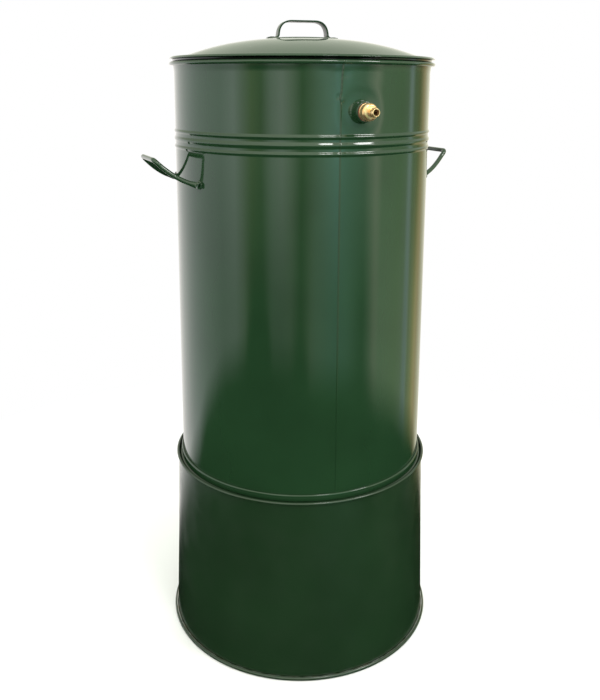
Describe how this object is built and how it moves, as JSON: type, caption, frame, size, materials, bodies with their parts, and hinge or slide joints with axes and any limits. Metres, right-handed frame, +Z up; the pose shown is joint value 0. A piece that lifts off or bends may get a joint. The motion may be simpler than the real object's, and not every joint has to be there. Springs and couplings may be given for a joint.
{
  "type": "water butt",
  "caption": "Round painted-steel water butt with a domed lift-off lid, strap handle, side handles, brass hose tail and tap, standing on a flared plinth.",
  "frame": {"origin": "on the ground, under the middle of the whole object's bounding box; the vessel's own axis stands at y = -0.0138 m", "axes": "+Z up along the vessel's axis; the hose tail faces -Y, the tap faces +Y, the side handles face -X and +X"},
  "size_m": [0.5054, 0.5154, 0.999],
  "materials": {
    "green_gloss_paint": "gloss dark green paint",
    "green_satin_paint": "satin dark green paint",
    "zinc_steel": "zinc plated",
    "brass": "turned, bright",
    "sealing_fibre": "matt sealing fibre"
  },
  "bodies": {
    "plinth": {"plinth_wall": "green_satin_paint", "plinth_foot_wire": "zinc_steel", "plinth_rim_wire": "zinc_steel", "plinth_ledge": "green_satin_paint"},
    "barrel": {"barrel_wall": "green_gloss_paint", "barrel_rim_wire": "zinc_steel", "barrel_bottom": "green_gloss_paint", "barrel_chime_band": "green_gloss_paint", "side_handle_left": "green_gloss_paint", "side_handle_right": "green_gloss_paint", "inlet_socket": "green_gloss_paint", "inlet_washer": "sealing_fibre", "hose_tail": "brass", "outlet_socket": "green_gloss_paint", "outlet_washer": "sealing_fibre", "tap_body": "brass", "tap_gland_nut": "brass"},
    "lid": {"lid_shell": "green_gloss_paint", "lid_locating_ring": "green_gloss_paint", "lid_strap_handle": "green_gloss_paint", "lid_rivet_1": "green_gloss_paint", "lid_rivet_2": "green_gloss_paint", "lid_rivet_3": "green_gloss_paint", "lid_rivet_4": "green_gloss_paint"},
    "tap_handle": {"tap_plug": "brass", "tap_lever": "green_gloss_paint", "tap_lever_screw": "zinc_steel"}
  },
  "joints": [
    {"name": "barrel_lift", "type": "slide", "parent": "plinth", "child": "barrel", "axis": [0, 0, 1], "range_m": [0, 0.1]},
    {"name": "lid_lift", "type": "slide", "parent": "barrel", "child": "lid", "axis": [0, 0, 1], "range_m": [0, 0.15]},
    {"name": "tap_turn", "type": "hinge", "parent": "barrel", "child": "tap_handle", "pos_m": [0, 0.2292, 0.33], "axis": [0, 0, 1], "range_deg": [0, 90]}
  ]
}
